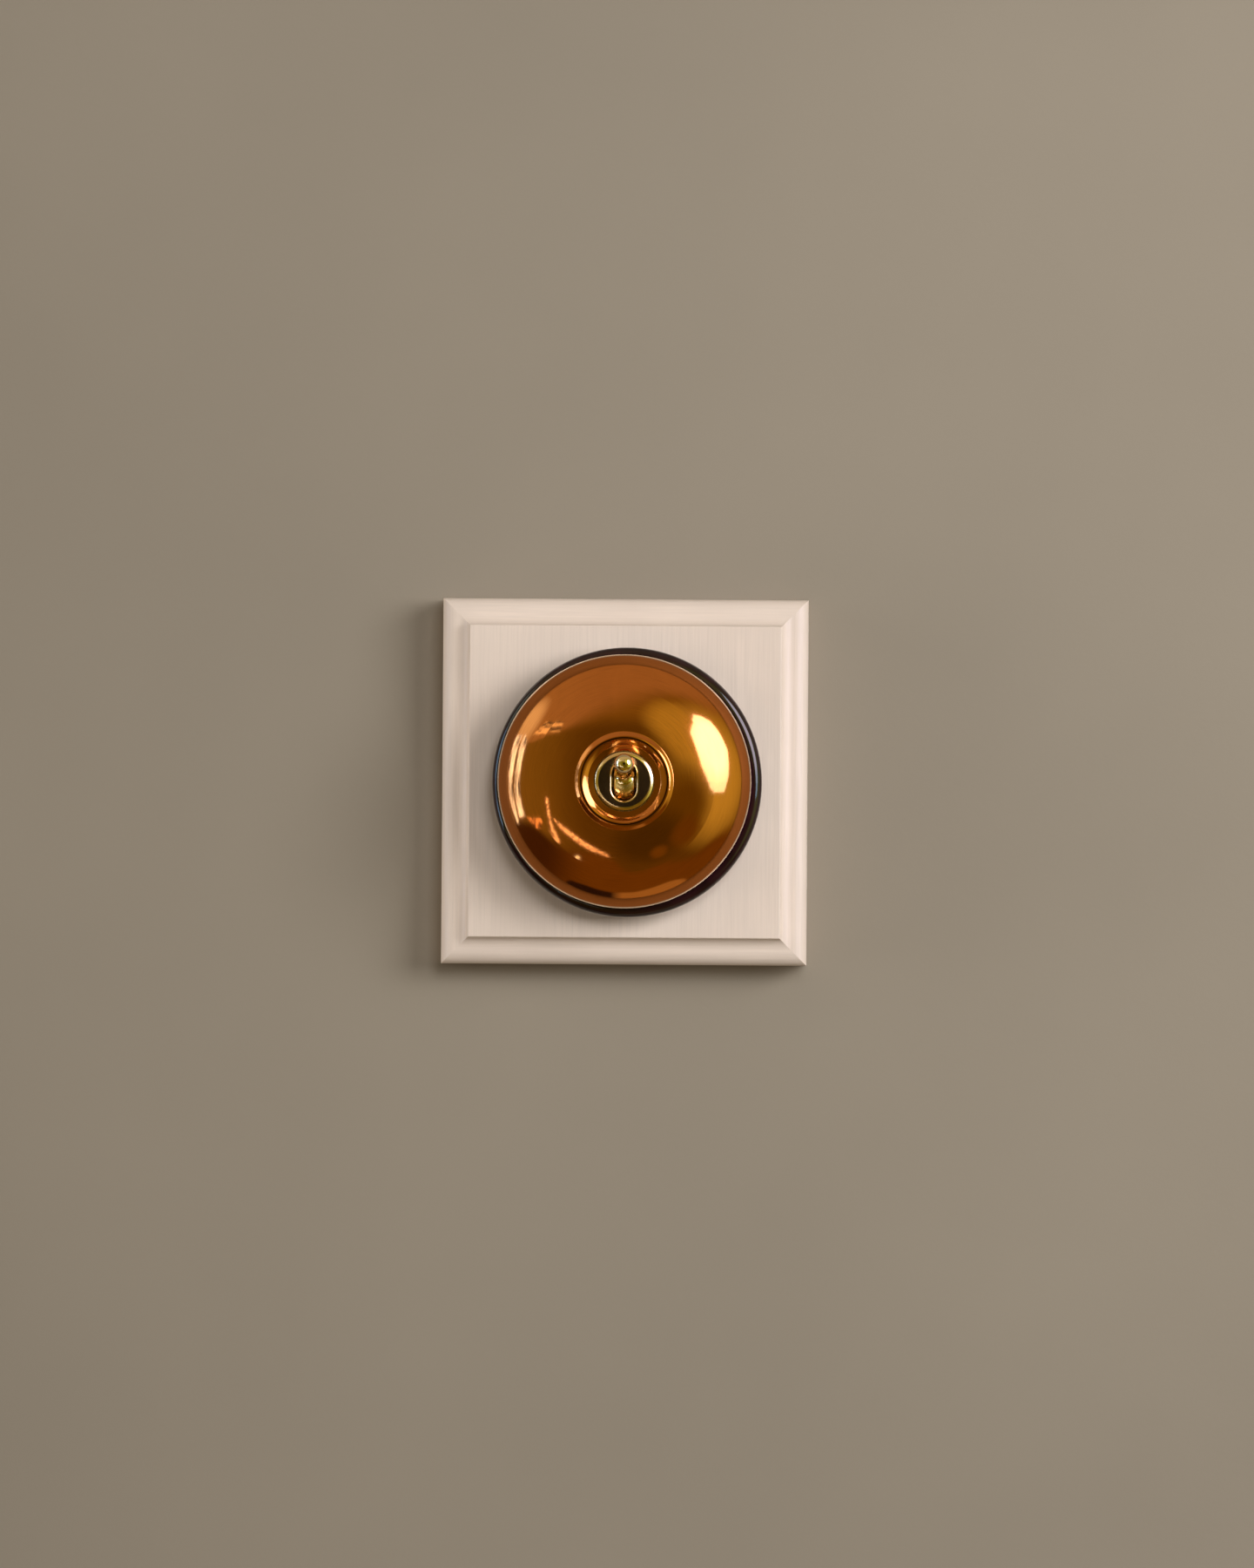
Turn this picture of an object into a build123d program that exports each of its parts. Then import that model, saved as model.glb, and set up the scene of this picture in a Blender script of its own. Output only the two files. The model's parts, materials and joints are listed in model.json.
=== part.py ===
from build123d import *

import os
from math import asin, atan2, cos, radians, sin, sqrt

# A one-way-or-two-way wall switch with a ball-ended dolly. A moulded square wood block carries a round glazed
# ceramic base. The base holds the terminals, the contacts and a bridge with the dolly, and a domed copper cover
# screws down over all of it onto the nozzle that the dolly stands in.
#
# It is modelled lying on its back, as it would be on a bench: X to the right, Y up the wall and Z out of the
# wall, with Z = 0 at the wall and the dolly's axis at X = Y = 0. The last step stands it up, so that in the
# finished part +Z is up, the wall is the plane Y = 0 and the dolly points to -Y. All sizes are millimetres.

# Wood block: a square with an ogee edge, a cove below the flat field and a nosing outside it
block_side = 95.0
block_depth = 18.0
cove_radius = 3.4
nosing_radius = 3.7
arris_radius = 0.3
cable_hole_radius = 17.0
wall_screw_spacing = 60.3
wall_screw_hole_radius = 2.1
wall_screw_head_radius = 3.6

# Ceramic base, which the maker fitted a little off the dolly's axis
base_radius = 34.7
base_height = 11.2
base_edge_radius = 2.6
base_foot_radius = 0.8
base_floor = 5.0
base_offset_x = 0.65
base_offset_y = -0.23
well_radius = 28.2
well_fillet = 1.0
spigot_radius = 30.6
spigot_height = 2.2
spigot_chamfer = 0.5
cable_way_radius = 3.5
cable_way_inset = 7.3
pillar_radius = 4.2
pillar_reach = 12.5
pillar_hole_depth = 7.0
screw_boss_radius = 4.5
screw_boss_height = 1.0
screw_hole_clearance = 0.3
base_screw_wall_gap = 1.57
rib_height = 2.4
rib_thickness = 1.2

# Copper cover: its half section, followed from the rim up over the dome to the hole in the dish
cover_radius = 32.5
cover_thickness = 0.8
skirt_height = 4.0
rim_bend, rim_turn = 3.0, 38.0
shoulder_bend, shoulder_turn = 25.0, 26.0
crown_bend, crown_turn = 38.0, 16.6
bead_foot_bend, bead_foot_turn = 0.4, 30.6
bead_flank = 0.9
bead_bend, bead_turn = 1.2, 60.0
dish_wall_bend, dish_wall_turn = 4.3, 20.0
dish_corner_bend, dish_corner_turn = 0.35, 30.0
bush_length = 4.9
bush_wall = 2.1
thread_clearance = 0.06

# Nozzle: the slotted brass collar that the dolly swings in and the cover screws onto
nozzle_radius = 7.4
nozzle_cover_gap = 0.35
nozzle_proud = 0.7
nozzle_face_thickness = 1.2
nozzle_bevel_width = 0.8
nozzle_bevel_depth = 0.42
nozzle_bevel_crown = 0.05
nozzle_flange_radius = 8.6
nozzle_flange_height = 1.2
slot_side_gap = 0.43
slot_length = 10.0
slot_edge_radius = 0.55
cavity_end_gap = 0.4
cavity_corner_radius = 1.5
spun_lip_radius = 7.3
spun_lip_height = 0.7
nozzle_spigot_radius = 6.6

# Dolly and its pivot
pivot_depth = 6.0
dolly_tilt = 17.3
drum_radius = 5.4
drum_width = 5.4
drum_edge_radius = 0.7
ball_radius = 2.56
ball_reach = 14.45
neck_radius = 1.2
skirt_inset = 0.15
skirt_reach = 5.2
flare_turn = 60.0
tail_radius = 2.25
tail_bore_top = 2.4
pin_radius = 1.0
pin_clearance = 0.06
pin_end_gap = 0.15
washer_thickness = 0.5
washer_radius = 2.2
washer_play = 0.15

# Sprung plunger in the dolly's tail
plunger_radius = 1.3
plunger_length = 3.1
plunger_slide_gap = 0.08
plunger_stands_out = 1.3
plunger_clearance = 0.37
spring_wire_radius = 0.19
spring_coil_radius = 1.08
spring_pitch = 0.72
spring_seat_gap = 0.05

# Rocking contact under the dolly
rocker_pivot_height = 3.4
rocker_tilt = 9.0
rocker_width = 5.8
rocker_pin_radius = 0.75
rocker_pin_clearance = 0.05
rocker_pin_overhang = 0.2
valley_height = 1.8
valley_slope = 17.0
valley_bend = 1.5
slope_run = 3.2
arm_run = 6.9
ear_radius = 1.7
tip_reach = 10.0
tip_radius = 1.3
tip_height = 0.7
tip_shank_radius = 0.63
tip_fit = 0.02
contact_gap = 0.2

# Sheet strips that the rocker, the contacts and the earth strap are folded from
sheet = 0.8
strip_width = 6.4
fold_radius = 1.2
cheek_gap = 0.4
cheek_width = 3.0
fixed_contact_inner = 8.0
fixed_contact_foot = 14.4
jog_turn = 35.0

# Terminals, all the same and at the same distance from the axis
terminal_reach = 20.0
terminal_side = 7.0
terminal_height = 7.8
terminal_chamfer = 0.4
terminal_fit = 0.25
wire_hole_radius = 1.75
wire_hole_height = 4.25
back_hole_depth = 2.2
back_head_radius = 2.8
back_head_recess = 0.3

# Screws
machine_screw_radius = 1.45
tapped_hole_radius = 1.5
cheese_head_radius = 2.5
cheese_head_height = 1.7
driver_slot_width = 0.7
driver_slot_depth = 0.8
terminal_screw_lift = 0.6
terminal_screw_tip_gap = 0.25
bridge_screw_length = 7.0
wood_screw_radius = 1.7
wood_screw_length = 15.0
wood_screw_point = 3.0
wood_screw_head_radius = 3.3
wood_screw_head_height = 2.2
wood_screw_fit = 0.02

# Bridge plate and earth strap
bridge_thickness = 1.6
bridge_pivot_gap = 4.0
bridge_chamfer = 0.3
bridge_hub_radius = 12.2
bridge_ear_radius = 4.4
rivet_reach = 10.5
rivet_radius = 0.8
rivet_head_radius = 1.3
rivet_head_height = 0.5
strap_inner = 8.9
strap_riser = 14.9

# Directions that the four terminals lie in, measured from +X
earth_side, upper_side, common_side, lower_side = 0.0, 90.0, 180.0, 270.0


def rod(radius, bottom, top, x=0.0, y=0.0):
    """Round bar along Z between two heights."""
    upright = Cylinder(radius, top - bottom, align=(Align.CENTER, Align.CENTER, Align.MIN))
    return Pos(x, y, bottom) * upright


def pin_along_x(radius, length, y, z):
    """Round bar along X, centred on the dolly's plane."""
    return Pos(0, y, z) * Rot(0, 90, 0) * Cylinder(radius, length)


def cuboid(x_range, y_range, z_range):
    """Rectangular bar between two corners."""
    sizes = [high - low for low, high in (x_range, y_range, z_range)]
    centre = [(low + high) / 2 for low, high in (x_range, y_range, z_range)]
    return Pos(*centre) * Box(*sizes)


def turned(edges):
    """Solid turned about Z from a closed outline whose points are (radius, height)."""
    return revolve(Plane.XZ * make_face(edges), Axis.Z)


def folded(start, heading, moves, thickness):
    """Section of a sheet of even thickness along straight runs and tangent bends.

    A move (length, 0) is a straight run, and (radius, turn) is a bend, whose turn in degrees is positive to the
    left. The sheet lies to the left of the path. Returns the face and the point where the path ends.
    """
    here = Vector(*start)
    angle = heading
    near, far = [], []
    for size, turn in moves:
        along = Vector(cos(radians(angle)), sin(radians(angle)))
        left = Vector(-along.Y, along.X)
        if turn == 0:
            end = here + along * size
            near.append(Line(here, end))
            far.append(Line(here + left * thickness, end + left * thickness))
        else:
            side = 1 if turn > 0 else -1
            centre = here + left * (side * size)
            spokes = [(here - centre).rotate(Axis.Z, turn * share) for share in (0, 0.5, 1)]
            shrink = (size - side * thickness) / size
            end = centre + spokes[2]
            near.append(ThreePointArc(*[centre + spoke for spoke in spokes]))
            far.append(ThreePointArc(*[centre + spoke * shrink for spoke in spokes]))
            angle += turn
        here = end
    caps = [Line(near[0] @ 0, far[0] @ 0), Line(near[-1] @ 1, far[-1] @ 1)]
    return make_face(near + far + caps), here


def domed(radius, height):
    """Spherical cap standing on Z = 0."""
    ball = (radius**2 + height**2) / (2 * height)
    half_angle = asin(radius / ball) / 2
    return turned(
        [
            Line((0, 0), (radius, 0)),
            ThreePointArc(
                (radius, 0),
                (ball * sin(half_angle), height - ball * (1 - cos(half_angle))),
                (0, height),
            ),
            Line((0, height), (0, 0)),
        ]
    )


def bend_rise(radius, turn):
    """Height that a sheet gains in a bend that starts level."""
    return radius * (1 - cos(radians(turn)))


def bend_run(radius, turn):
    """Distance along the level that a sheet covers in a bend that starts level."""
    return radius * sin(radians(turn))


# Heights above the wall, worked out from the sizes above
base_back = block_depth
floor = base_back + base_floor
seat = base_back + base_height
strip_top = floor + sheet

cover_moves = [
    (skirt_height, 0),
    (rim_bend, rim_turn),
    (shoulder_bend, shoulder_turn),
    (crown_bend, crown_turn),
    (bead_foot_bend, -bead_foot_turn),
    (bead_flank, 0),
    (bead_bend, bead_turn),
    (dish_wall_bend, dish_wall_turn),
    (dish_corner_bend, -dish_corner_turn),
]
cover_hole_radius = nozzle_radius + nozzle_cover_gap
dish_foot = folded((cover_radius, seat), 90, cover_moves, cover_thickness)[1]
dish_heading = radians(90 + sum(turn for _, turn in cover_moves))
dish_run = (cover_hole_radius - dish_foot.X) / cos(dish_heading)
dish_floor = dish_foot.Y + dish_run * sin(dish_heading)

slot_width = drum_width + 2 * slot_side_gap
cavity_width = drum_width + 2 * (washer_thickness + washer_play)
cavity_length = 2 * (drum_radius + cavity_end_gap)

nozzle_face = dish_floor + nozzle_proud
pivot = nozzle_face - pivot_depth
bridge_top = pivot - bridge_pivot_gap
bridge_back = bridge_top - bridge_thickness
rocker_pivot = floor + rocker_pivot_height

# Distances down the dolly's tail from its pivot
plunger_reach = pivot - rocker_pivot - valley_height - plunger_radius - plunger_clearance
plunger_top = plunger_reach - plunger_length
tail_reach = plunger_reach - plunger_stands_out
tail_bore_radius = plunger_radius + plunger_slide_gap

# Distances of the base screws and the cable ways from the axis, along X and along Y alike
base_screw_reach = (well_radius - wood_screw_head_radius - base_screw_wall_gap) * sqrt(0.5)
cable_way_reach = base_screw_reach - cable_way_inset


def wood_block():
    """Square block with a moulded edge: one moulded bar crossed with its twin, so that the corners mitre."""
    half = block_side / 2
    nosing_foot = block_depth - cove_radius - nosing_radius
    shoulder = half - nosing_radius
    field = shoulder - cove_radius
    corner = sqrt(0.5)
    outline = [
        Line((0, 0), (half, 0)),
        Line((half, 0), (half, nosing_foot)),
        ThreePointArc(
            (half, nosing_foot),
            (shoulder + nosing_radius * corner, nosing_foot + nosing_radius * corner),
            (shoulder, nosing_foot + nosing_radius),
        ),
        ThreePointArc(
            (shoulder, block_depth - cove_radius),
            (shoulder - cove_radius * corner, block_depth - cove_radius * corner),
            (field, block_depth),
        ),
        Line((field, block_depth), (0, block_depth)),
        Line((0, block_depth), (0, 0)),
    ]
    half_section = make_face(outline)
    arris = half_section.vertices().sort_by_distance(Vector(field, block_depth))[0]
    half_section = fillet(arris, arris_radius)
    section = Plane.XZ * (half_section + mirror(half_section, Plane.YZ))
    bar = extrude(section, half, both=True)
    block = bar & (Rot(0, 0, 90) * bar)
    block -= rod(cable_hole_radius, 0, block_depth)
    head_depth = wall_screw_head_radius - wall_screw_hole_radius
    for x in (-wall_screw_spacing / 2, wall_screw_spacing / 2):
        block -= rod(wall_screw_hole_radius, 0, block_depth, x)
        block -= Pos(x, 0, block_depth - head_depth) * Cone(
            wall_screw_hole_radius,
            wall_screw_head_radius,
            head_depth,
            align=(Align.CENTER, Align.CENTER, Align.MIN),
        )
    pilot_end = floor + screw_boss_height - wood_screw_length
    for x, y in base_screw_places():
        block -= rod(wood_screw_radius + wood_screw_fit, pilot_end, block_depth, x, y)
    return block


def base_screw_places():
    """Centres of the two screws that hold the base to the block, one each side of the axis."""
    return [(-base_screw_reach, base_screw_reach), (base_screw_reach, -base_screw_reach)]


def pillar_places():
    """Centres of the two pillars that carry the bridge."""
    return [(pillar_reach, pillar_reach), (-pillar_reach, -pillar_reach)]


def ceramic_base():
    """Glazed base: a turned dish with a rolled edge, and the pillars, ribs and holes that are pressed into it."""
    side = base_radius - base_edge_radius
    corner = sqrt(0.5)
    rim = seat + spigot_height
    foot_inner = base_radius - base_foot_radius
    edges = [
        Line((0, base_back), (foot_inner, base_back)),
        ThreePointArc(
            (foot_inner, base_back),
            (foot_inner + base_foot_radius * corner, base_back + base_foot_radius * (1 - corner)),
            (base_radius, base_back + base_foot_radius),
        ),
        Line((base_radius, base_back + base_foot_radius), (base_radius, seat - base_edge_radius)),
        ThreePointArc(
            (base_radius, seat - base_edge_radius),
            (side + base_edge_radius * corner, seat - base_edge_radius * (1 - corner)),
            (side, seat),
        ),
        Polyline(
            (side, seat),
            (spigot_radius, seat),
            (spigot_radius, rim - spigot_chamfer),
            (spigot_radius - spigot_chamfer, rim),
            (well_radius, rim),
            (well_radius, floor + well_fillet),
        ),
        ThreePointArc(
            (well_radius, floor + well_fillet),
            (well_radius - well_fillet * (1 - corner), floor + well_fillet * (1 - corner)),
            (well_radius - well_fillet, floor),
        ),
        Polyline((well_radius - well_fillet, floor), (0, floor), (0, base_back)),
    ]
    base = Pos(base_offset_x, base_offset_y, 0) * turned(edges)
    for x, y in pillar_places():
        base += rod(pillar_radius, floor, bridge_back, x, y)
        base -= rod(tapped_hole_radius, bridge_back - pillar_hole_depth, bridge_back, x, y)
    for x, y in base_screw_places():
        base += rod(screw_boss_radius, floor, floor + screw_boss_height, x, y)
        base -= rod(wood_screw_radius + screw_hole_clearance, base_back, floor + screw_boss_height, x, y)
    for x, y in ((-cable_way_reach, cable_way_reach), (cable_way_reach, -cable_way_reach)):
        base -= rod(cable_way_radius, base_back, floor, x, y)
    rib_inner = terminal_side / 2 + terminal_fit
    along = (terminal_reach - terminal_side / 2, terminal_reach + terminal_side / 2)
    head_depth = back_head_radius - tapped_hole_radius
    for angle in (earth_side, upper_side, common_side, lower_side):
        for low, high in ((rib_inner, rib_inner + rib_thickness), (-rib_inner - rib_thickness, -rib_inner)):
            base += Rot(0, 0, angle) * cuboid(along, (low, high), (floor, floor + rib_height))
        sink = rod(tapped_hole_radius, base_back, floor, terminal_reach)
        sink += rod(back_head_radius, base_back, base_back + back_head_recess, terminal_reach)
        sink += Pos(terminal_reach, 0, base_back + back_head_recess) * Cone(
            back_head_radius,
            tapped_hole_radius,
            head_depth,
            align=(Align.CENTER, Align.CENTER, Align.MIN),
        )
        base -= Rot(0, 0, angle) * sink
    return base


def cover():
    """Spun copper dome with a beaded dish in the middle, of one thickness from rim to hole."""
    section, _ = folded((cover_radius, seat), 90, cover_moves + [(dish_run, 0)], cover_thickness)
    return revolve(Plane.XZ * section, Axis.Z)


def cover_bush():
    """Threaded ring soldered under the dish, which runs down the nozzle."""
    top = dish_floor - cover_thickness
    bore = nozzle_radius + thread_clearance
    return rod(bore + bush_wall, top - bush_length, top) - rod(bore, top - bush_length, top)


def nozzle():
    """Slotted collar: turned outside, milled out for the drum, and spun over under the bridge."""
    flange_top = bridge_top + nozzle_flange_height
    shoulder = nozzle_face - nozzle_bevel_depth
    rim = nozzle_radius - nozzle_bevel_width
    bevel_slope = atan2(nozzle_bevel_depth, nozzle_bevel_width)
    edges = [
        Polyline(
            (0, nozzle_face),
            (0, bridge_back - spun_lip_height),
            (spun_lip_radius, bridge_back - spun_lip_height),
            (spun_lip_radius, bridge_back),
            (nozzle_spigot_radius, bridge_back),
            (nozzle_spigot_radius, bridge_top),
            (nozzle_flange_radius, bridge_top),
            (nozzle_flange_radius, flange_top),
            (nozzle_radius, flange_top),
            (nozzle_radius, shoulder),
        ),
        ThreePointArc(
            (nozzle_radius, shoulder),
            (
                nozzle_radius - nozzle_bevel_width / 2 + nozzle_bevel_crown * sin(bevel_slope),
                nozzle_face - nozzle_bevel_depth / 2 + nozzle_bevel_crown * cos(bevel_slope),
            ),
            (rim, nozzle_face),
        ),
        Line((rim, nozzle_face), (0, nozzle_face)),
    ]
    body = turned(edges)
    ceiling = nozzle_face - nozzle_face_thickness
    below = bridge_back - spun_lip_height
    cavity = RectangleRounded(cavity_width, cavity_length, cavity_corner_radius)
    body -= Pos(0, 0, below) * extrude(cavity, ceiling - below)
    slot = SlotOverall(slot_length, slot_width, rotation=90)
    body -= Pos(0, 0, ceiling) * extrude(slot, nozzle_face_thickness)
    slot_edges = body.edges().filter_by(
        lambda edge: abs(edge.center().Z - nozzle_face) < 0.01 and abs(edge.center().X) < slot_width
        and abs(edge.center().Y) < slot_length / 2 + 0.01
    )
    slot_rim = [edge for edge in slot_edges if edge.length < nozzle_radius * 2]
    body = fillet(slot_rim, slot_edge_radius)
    return body - pin_along_x(pin_radius, nozzle_radius * 2, 0, pivot)


def tilted(shape):
    """Places what is drawn about the pivot, pointing out of the wall, at the dolly's rest tilt."""
    return Pos(0, 0, pivot) * Rot(-dolly_tilt, 0, 0) * shape


def dolly():
    """Lever with a ball at its tip, a waist, a flared skirt, a drum on the pivot and a bored tail behind."""
    drum = Sphere(drum_radius) & Box(drum_width, drum_radius * 2, drum_radius * 2)
    drum = fillet(drum.edges().filter_by(GeomType.CIRCLE), drum_edge_radius)
    ball_foot = ball_reach - sqrt(ball_radius**2 - neck_radius**2)
    skirt_radius = drum_width / 2 - skirt_inset
    flare_radius = (skirt_radius - neck_radius) / (1 - cos(radians(flare_turn)))
    flare_top = skirt_reach + bend_run(flare_radius, flare_turn)
    waist = (neck_radius + bend_rise(flare_radius, flare_turn / 2), flare_top - bend_run(flare_radius, flare_turn / 2))
    lever = turned(
        [
            Line((0, 0), (skirt_radius, 0)),
            Line((skirt_radius, 0), (skirt_radius, skirt_reach)),
            ThreePointArc((skirt_radius, skirt_reach), waist, (neck_radius, flare_top)),
            Line((neck_radius, flare_top), (neck_radius, ball_foot)),
            ThreePointArc(
                (neck_radius, ball_foot), (ball_radius, ball_reach), (0, ball_reach + ball_radius)
            ),
            Line((0, ball_reach + ball_radius), (0, 0)),
        ]
    )
    body = drum + lever + rod(tail_radius, -tail_reach, 0)
    body -= rod(tail_bore_radius, -tail_reach, -tail_bore_top)
    body -= pin_along_x(pin_radius + pin_clearance, drum_width * 2, 0, 0)
    return tilted(body)


def pivot_washer(side):
    """Brass washer beside the drum, which keeps it in the middle of the cavity."""
    centre = side * (drum_width + washer_thickness + washer_play) / 2
    ring = Cylinder(washer_radius, washer_thickness) - Cylinder(pin_radius + pin_clearance, washer_thickness)
    return Pos(centre, 0, pivot) * Rot(0, 90, 0) * ring


def plunger():
    """Round-nosed insulating plunger that slides in the tail and presses on the rocker."""
    return tilted(rod(plunger_radius, -plunger_reach, -plunger_top) + Pos(0, 0, -plunger_reach) * Sphere(plunger_radius))


def plunger_spring():
    """Coil spring between the bore's end and the plunger."""
    margin = spring_wire_radius + spring_seat_gap
    low = -plunger_top + margin
    height = -tail_bore_top - margin - low
    path = Helix(spring_pitch, height, spring_coil_radius, center=(0, 0, low))
    wire = Plane(origin=path @ 0, z_dir=path % 0) * Circle(spring_wire_radius)
    return tilted(sweep(wire, path=path, is_frenet=True))


def rocker():
    """See-saw strip with a valley for the plunger and two ears on the pin, tipped to its rest position."""
    rise = bend_rise(2 * valley_bend, valley_slope) + slope_run * sin(radians(valley_slope))
    reach = arm_run + bend_run(2 * valley_bend, valley_slope) + slope_run * cos(radians(valley_slope))
    half = [(arm_run, 0), (valley_bend, valley_slope), (slope_run, 0)]
    moves = half + [(valley_bend, -2 * valley_slope)] + half[::-1]
    section, _ = folded((reach, valley_height + rise), 180, moves, sheet)
    strip = extrude(Plane.YZ * section, rocker_width / 2, both=True)
    for side in (-1, 1):
        middle = side * (rocker_width - sheet) / 2
        ear = Pos(middle, 0, 0) * Rot(0, 90, 0) * Cylinder(ear_radius, sheet)
        neck = Pos(middle, 0, valley_height / 2) * Box(sheet, ear_radius * 2, valley_height)
        strip += ear + neck
    strip -= pin_along_x(rocker_pin_radius + rocker_pin_clearance, rocker_width * 2, 0, 0)
    for side in (-1, 1):
        strip -= rod(tip_shank_radius + tip_fit, 0, reach, 0, side * tip_reach)
    return rocked(strip)


def rocked(shape):
    """Places what is drawn about the rocker's pin, level, at the rocker's rest tilt."""
    return Pos(0, 0, rocker_pivot) * Rot(rocker_tilt, 0, 0) * shape


def arm_back():
    """Height of the underside of the rocker's arms above its pin, when it is level."""
    return valley_height + bend_rise(2 * valley_bend, valley_slope) + slope_run * sin(radians(valley_slope)) - sheet


def contact_button(shank_length):
    """Domed silver contact on a rivet shank, drawn with its seat at Z = 0 and its dome up."""
    return domed(tip_radius, tip_height) + rod(tip_shank_radius, -shank_length, 0)


def rocker_tip(side):
    """Moving contact under one arm of the rocker."""
    button = Rot(180, 0, 0) * contact_button(sheet)
    return rocked(Pos(0, side * tip_reach, arm_back()) * button)


def closed_tip():
    """Place (distance from the axis, height) of the lowest point of the moving contact on its closed side."""
    low = arm_back() - tip_height
    tilt = radians(rocker_tilt)
    return (
        tip_reach * cos(tilt) + low * sin(tilt),
        rocker_pivot - tip_reach * sin(tilt) + low * cos(tilt),
    )


def fixed_contact(angle):
    """Strip from under a terminal that rises to the fixed contact."""
    outer = terminal_reach + terminal_side / 2
    rise = closed_tip()[1] - contact_gap - tip_height - strip_top
    slope = (rise - 2 * bend_rise(fold_radius, jog_turn)) / sin(radians(jog_turn))
    jog = 2 * bend_run(fold_radius, jog_turn) + slope * cos(radians(jog_turn))
    moves = [
        (outer - fixed_contact_foot, 0),
        (fold_radius, -jog_turn),
        (slope, 0),
        (fold_radius, jog_turn),
        (fixed_contact_foot - jog - fixed_contact_inner, 0),
    ]
    section, _ = folded((outer, strip_top), 180, moves, sheet)
    strip = extrude(Plane.XZ * section, strip_width / 2, both=True)
    strip -= rod(tip_shank_radius + tip_fit, floor, rocker_pivot, closed_tip()[0])
    strip -= rod(tapped_hole_radius, floor, strip_top, terminal_reach)
    return Rot(0, 0, angle) * strip


def fixed_tip(angle):
    """Fixed contact riveted into its strip."""
    place, low = closed_tip()
    return Rot(0, 0, angle) * Pos(place, 0, low - contact_gap - tip_height) * contact_button(sheet)


def common_bracket():
    """Strip from the common terminal whose end and lanced ear stand up as the rocker's bearings."""
    outer = terminal_reach + terminal_side / 2
    inner = rocker_width / 2 + cheek_gap
    top = rocker_pivot + cheek_width / 2
    bend = sheet
    run = outer + inner - bend
    moves = [(run, 0), (bend, -90), (rocker_pivot - strip_top - bend, 0)]
    section, _ = folded((outer, strip_top), 180, moves, sheet)
    strip = extrude(Plane.XZ * section, strip_width / 2, both=True)
    window = top - floor
    half = cheek_width / 2
    strip -= cuboid((inner + sheet, inner + sheet + window), (-half, half), (floor, strip_top))
    strip += cuboid((inner, inner + sheet), (-half, half), (floor, rocker_pivot))
    end_half = strip_width / 2
    strip += Pos(-inner - sheet / 2, 0, rocker_pivot) * Rot(0, 90, 0) * Cylinder(half, sheet)
    strip += Pos(inner + sheet / 2, 0, rocker_pivot) * Rot(0, 90, 0) * Cylinder(half, sheet)
    for side in (-1, 1):
        low, high = sorted((side * half, side * end_half))
        strip -= cuboid((-inner - sheet, -inner), (low, high), (rocker_pivot - half, rocker_pivot))
    strip -= pin_along_x(rocker_pin_radius + tip_fit, 4 * inner, 0, rocker_pivot)
    strip -= rod(tapped_hole_radius, floor, strip_top, terminal_reach)
    return Rot(0, 0, common_side) * strip


def rocker_pin():
    """Pin through the bracket's bearings and the rocker's ears."""
    cheek_outer = rocker_width / 2 + cheek_gap + sheet
    return pin_along_x(rocker_pin_radius, 2 * (cheek_outer + rocker_pin_overhang), 0, rocker_pivot)


def terminal(angle, seat_height):
    """Brass pillar terminal with a wire hole across it, a screw hole from the top and one from the back."""
    low, high = seat_height, seat_height + terminal_height
    half = terminal_side / 2
    block = cuboid((terminal_reach - half, terminal_reach + half), (-half, half), (low, high))
    block = chamfer(block.edges(), terminal_chamfer)
    wire = low + wire_hole_height
    block -= Pos(terminal_reach, 0, wire) * Rot(90, 0, 0) * Cylinder(wire_hole_radius, terminal_side)
    block -= rod(tapped_hole_radius, wire, high, terminal_reach)
    block -= rod(tapped_hole_radius, low, low + back_hole_depth, terminal_reach)
    return Rot(0, 0, angle) * block


def cheese_head_screw(length):
    """Slotted machine screw, drawn with the underside of its head at Z = 0 and its shank down."""
    shank_end = rod(machine_screw_radius, -length, 0)
    shank_end = chamfer(shank_end.edges().group_by(Axis.Z)[0], machine_screw_radius * 0.3)
    head = rod(cheese_head_radius, 0, cheese_head_height)
    head = chamfer(head.edges().group_by(Axis.Z)[-1], driver_slot_depth * 0.3)
    half = driver_slot_width / 2
    slot = cuboid(
        (-cheese_head_radius, cheese_head_radius),
        (-half, half),
        (cheese_head_height - driver_slot_depth, cheese_head_height),
    )
    return head + shank_end - slot


def terminal_screw(angle, seat_height):
    """Clamping screw of a terminal, backed off far enough to leave the wire hole open."""
    head_back = seat_height + terminal_height + terminal_screw_lift
    tip = seat_height + wire_hole_height + wire_hole_radius + terminal_screw_tip_gap
    return Rot(0, 0, angle) * Pos(terminal_reach, 0, head_back) * cheese_head_screw(head_back - tip)


def back_screw(angle):
    """Countersunk screw from the back of the base up into a terminal."""
    head_low = base_back + back_head_recess
    fit = tapped_hole_radius - machine_screw_radius
    head_depth = back_head_radius - tapped_hole_radius
    head = Cone(
        back_head_radius - fit,
        machine_screw_radius,
        head_depth,
        align=(Align.CENTER, Align.CENTER, Align.MIN),
    )
    half = driver_slot_width / 2
    slot = cuboid((-back_head_radius, back_head_radius), (-half, half), (0, driver_slot_depth))
    shank = rod(machine_screw_radius, head_depth, strip_top + back_hole_depth - terminal_fit - head_low)
    return Rot(0, 0, angle) * Pos(terminal_reach, 0, head_low) * (head + shank - slot)


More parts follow.
